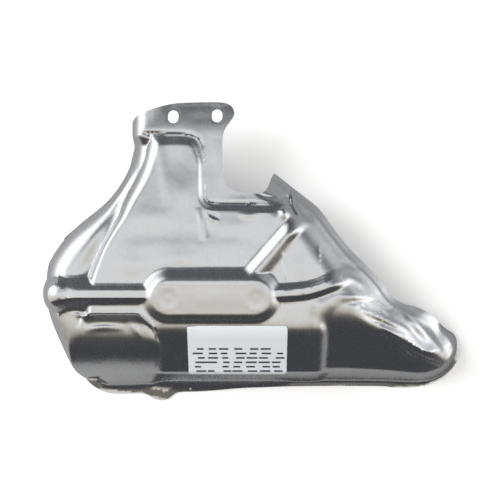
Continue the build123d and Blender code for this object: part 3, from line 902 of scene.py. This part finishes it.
class SheetSizes(bpy.types.PropertyGroup):
    """Sizes of the drawn sheet."""

    thickness: bpy.props.FloatProperty(
        name="Thickness", description="Thickness of the sheet", default=0.001, unit="LENGTH", precision=4)
    deck_height: bpy.props.FloatProperty(
        name="Deck", description="Height of the deck and the tab", default=0.0392, unit="LENGTH", precision=4)
    panel_height: bpy.props.FloatProperty(
        name="Panel", description="Height of the raised neck and panel",
        default=0.0438, unit="LENGTH", precision=4)
    rib_height: bpy.props.FloatProperty(
        name="Ribs", description="Height of the ribs' crests", default=0.0468, unit="LENGTH", precision=4)
    pad_height: bpy.props.FloatProperty(
        name="Pad", description="Height of the pad", default=SHEET_HIGH.z - 0.0011, unit="LENGTH",
        precision=4)
    flank_radius: bpy.props.FloatProperty(
        name="Flank Roll", description="Radius of the roll over the flank",
        default=0.02, unit="LENGTH", precision=4)
    spacing: bpy.props.FloatProperty(
        name="Mesh Spacing", description="Spacing of the mesh on the flats",
        default=0.0021, unit="LENGTH", precision=4)


class LabelSizes(bpy.types.PropertyGroup):
    """Sizes of the paper label."""

    thickness: bpy.props.FloatProperty(
        name="Paper", description="Thickness of the paper", default=0.00012, unit="LENGTH", precision=5)
    loose_reach: bpy.props.FloatProperty(
        name="Loose Corner", description="Reach of the loose corner",
        default=0.008, unit="LENGTH", precision=4)
    loose_lift: bpy.props.FloatProperty(
        name="Corner Lift", description="Lift of the loose corner",
        default=0.0016, unit="LENGTH", precision=4)
    rows: bpy.props.IntProperty(name="Rows", description="Rows of dashes", default=6, min=1)
    columns: bpy.props.IntProperty(name="Dashes", description="Dashes in a row", default=7, min=1)
    dash_length: bpy.props.FloatProperty(
        name="Dash Length", description="Longest dash", default=0.0092, unit="LENGTH", precision=4)
    dash_height: bpy.props.FloatProperty(
        name="Dash Height", description="Height of a dash", default=0.0013, unit="LENGTH", precision=4)
    seed: bpy.props.IntProperty(name="Seed", description="Seed of the dashes' lengths", default=4)


class Looks(bpy.types.PropertyGroup):
    """Finishes."""

    roughness: bpy.props.FloatProperty(
        name="Roughness", description="Roughness of the bare sheet",
        default=0.25, min=0.0, max=1.0, subtype="FACTOR")
    grain_size: bpy.props.FloatProperty(
        name="Grain", description="Size of the rolled grain", default=0.0007, unit="LENGTH", precision=5)
    wave_size: bpy.props.FloatProperty(
        name="Waves", description="Size of the faint waves in the flats",
        default=0.014, unit="LENGTH", precision=4)


class StageSizes(bpy.types.PropertyGroup):
    """Camera, floor and light."""

    camera_height: bpy.props.FloatProperty(
        name="Camera Height", description="Height of the camera above the floor", default=0.75, unit="LENGTH")
    lens: bpy.props.FloatProperty(
        name="Lens", description="Focal length", default=72.91, unit="CAMERA")
    strip_light: bpy.props.FloatProperty(
        name="Strip Light", description="Level of the soft strip overhead", default=1.0, min=0.0, max=2.0)
    key_power: bpy.props.FloatProperty(
        name="Key Light", description="Power of the soft light on the upper left", default=16.5, unit="POWER")
    fill_power: bpy.props.FloatProperty(
        name="Fill Light", description="Power of the weak wide light from the front",
        default=4.8, unit="POWER")
    mirrored: bpy.props.FloatProperty(
        name="Mirrored Floor", description="Share of the floor's light that the metal mirrors", default=0.5,
        min=0.0, max=1.0)
    floor_glow: bpy.props.FloatProperty(
        name="Floor Glow", description="White of the floor paper besides the light on it",
        default=0.35, min=0.0, max=1.0)


class SHIELD_OT_press_sheet(bpy.types.Operator):
    """Press the aluminium sheet"""

    bl_idname = "shield.press_sheet"
    bl_label = "Press Sheet"

    def execute(self, context):
        sizes = context.scene.shield_sheet
        form = Form(sizes)
        holes = [slot_loop(spot, SLOT_WIDTH, SLOT_LENGTH) for spot in SLOTS]
        holes.append(slot_loop(LIP_HOLE, LIP_HOLE_WIDTH, LIP_HOLE_WIDTH))
        points, faces = plan_triangles(corner_cut(EDGE, closed=True), holes, sizes.spacing / MM)
        points, z, faces = split_long(points, faces, form)
        normals = sheet_normals(form, points)
        mesh = shell_mesh("pressed_sheet", np.column_stack((points, z)), normals, faces, form.lip)
        piece = link_object("pressed_sheet", mesh)
        mesh.materials.append(aluminium_material(context.scene.shield_looks))
        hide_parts("heat_shield")
        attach(piece, "root")
        return {"FINISHED"}


class SHIELD_OT_stick_label(bpy.types.Operator):
    """Stick the paper label on the wall"""

    bl_idname = "shield.stick_label"
    bl_label = "Stick Label"

    def execute(self, context):
        form = Form(context.scene.shield_sheet)
        sizes = context.scene.shield_label
        low, high = LABEL_LOW / MM, LABEL_HIGH / MM
        points, faces = plan_triangles(rounded_rectangle(low, high, LABEL_ROUNDINGS), [], LABEL_SPACING)
        normals = sheet_normals(form, points)
        z = form.height(points[:, 0], points[:, 1])
        paper = sizes.thickness / MM
        # The upper left corner has come loose and curls up
        loose = ease(1.0 - np.hypot(points[:, 0] - low.x, points[:, 1] - high.y) / (sizes.loose_reach / MM))
        lift = paper + LABEL_GAP + loose * sizes.loose_lift / MM
        outer = np.column_stack((points, z)) + normals * lift[:, None]
        mesh = shell_mesh("label_sheet", outer, normals, faces, paper)
        piece = link_object("label_sheet", mesh)
        mesh.materials.append(paper_material())
        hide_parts("paper_label")
        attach(piece, "root")
        return {"FINISHED"}


class SHIELD_OT_print_label(bpy.types.Operator):
    """Print rows of plain dashes on the label"""

    bl_idname = "shield.print_label"
    bl_label = "Print Label"

    def execute(self, context):
        label = bpy.data.objects.get("label_sheet")
        if label is None:
            raise RuntimeError("The label has to be stuck on before it is printed")
        sizes = context.scene.shield_label
        tree = dash_tree(ink_material())
        holder = link_object("label_print", bpy.data.meshes.new("dashes"))
        modifier = holder.modifiers.new("dashes", "NODES")
        modifier.node_group = tree
        values = {
            "Sheet": label, "Middle": PRINT_MIDDLE, "Width": PRINT_WIDTH, "Height": PRINT_HEIGHT,
            "Columns": sizes.columns, "Rows": sizes.rows, "Dash Length": sizes.dash_length,
            "Dash Height": sizes.dash_height, "Seed": sizes.seed,
        }
        for item in tree.interface.items_tree:
            if item.in_out == "INPUT":
                modifier[item.identifier] = values[item.name]
        evaluated = holder.evaluated_get(context.evaluated_depsgraph_get())
        mesh = bpy.data.meshes.new_from_object(evaluated)
        if not mesh.polygons:
            raise RuntimeError("No dash landed on the label")
        holder.modifiers.remove(modifier)
        holder.data = mesh
        mesh.name = "label_print"
        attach(holder, "root")
        return {"FINISHED"}


class SHIELD_OT_set_stage(bpy.types.Operator):
    """Set the floor, lights and camera"""

    bl_idname = "shield.set_stage"
    bl_label = "Set Stage"

    def execute(self, context):
        scene = context.scene
        sizes = scene.shield_stage
        scene.view_settings.view_transform = "Standard"
        mesh = bpy.data.meshes.new("floor")
        half = FLOOR_HALF
        corners = [(-half, -half, 0), (half, -half, 0), (half, half, 0), (-half, half, 0)]
        mesh.from_pydata(corners, [], [(0, 1, 2, 3)])
        mesh.materials.append(floor_material(sizes))
        floor = link_object("floor", mesh)

        camera = link_object("camera", bpy.data.cameras.new("camera"))
        camera.data.lens = sizes.lens
        camera.data.sensor_width = SENSOR_WIDTH
        camera.location = (CAMERA_X, CAMERA_Y, sizes.camera_height)
        scene.camera = camera

        # The lamps light the paper and the floor; the metal mirrors the room instead
        for name, (place, across, power) in LAMPS.items():
            light = bpy.data.lights.new(name, "AREA")
            light.shape = "DISK"
            light.size = across
            light.energy = getattr(sizes, power)
            lamp = link_object(name, light)
            lamp.location = place
            lamp.rotation_mode = "QUATERNION"
            lamp.rotation_quaternion = lamp.location.to_track_quat("Z", "Y")
            lamp.visible_glossy = False

        scene.world = studio_world(sizes.strip_light)
        return {"FINISHED"}


class SHIELD_PT_panel(bpy.types.Panel):
    """Lists the pieces and their sizes"""

    bl_idname = "SHIELD_PT_panel"
    bl_label = "Heat Shield"
    bl_space_type = "VIEW_3D"
    bl_region_type = "UI"
    bl_category = "Heat Shield"

    def draw(self, context):
        for group, operators in PIECES.items():
            box = self.layout.box()
            settings = getattr(context.scene, group)
            for key in settings.bl_rna.properties.keys():
                if key not in ("rna_type", "name"):
                    box.prop(settings, key)
            for operator in operators:
                box.operator(operator)


GROUPS = {
    "shield_sheet": SheetSizes,
    "shield_label": LabelSizes,
    "shield_looks": Looks,
    "shield_stage": StageSizes,
}
PIECES = {
    "shield_sheet": ("shield.press_sheet",),
    "shield_label": ("shield.stick_label", "shield.print_label"),
    "shield_looks": (),
    "shield_stage": ("shield.set_stage",),
}
CLASSES = (
    *GROUPS.values(), SHIELD_OT_press_sheet, SHIELD_OT_stick_label, SHIELD_OT_print_label,
    SHIELD_OT_set_stage, SHIELD_PT_panel,
)


def register():
    """Registers the classes and hangs the settings on the scene."""
    for kind in CLASSES:
        bpy.utils.register_class(kind)
    for name, kind in GROUPS.items():
        setattr(bpy.types.Scene, name, bpy.props.PointerProperty(type=kind))


def unregister():
    """Takes the settings and the classes away again."""
    for name in GROUPS:
        delattr(bpy.types.Scene, name)
    for kind in reversed(CLASSES):
        bpy.utils.unregister_class(kind)


def main():
    """Builds the stage and the pieces."""
    register()
    bpy.ops.shield.set_stage()
    bpy.ops.shield.press_sheet()
    bpy.ops.shield.stick_label()
    bpy.ops.shield.print_label()


if __name__ == "__main__":
    main()
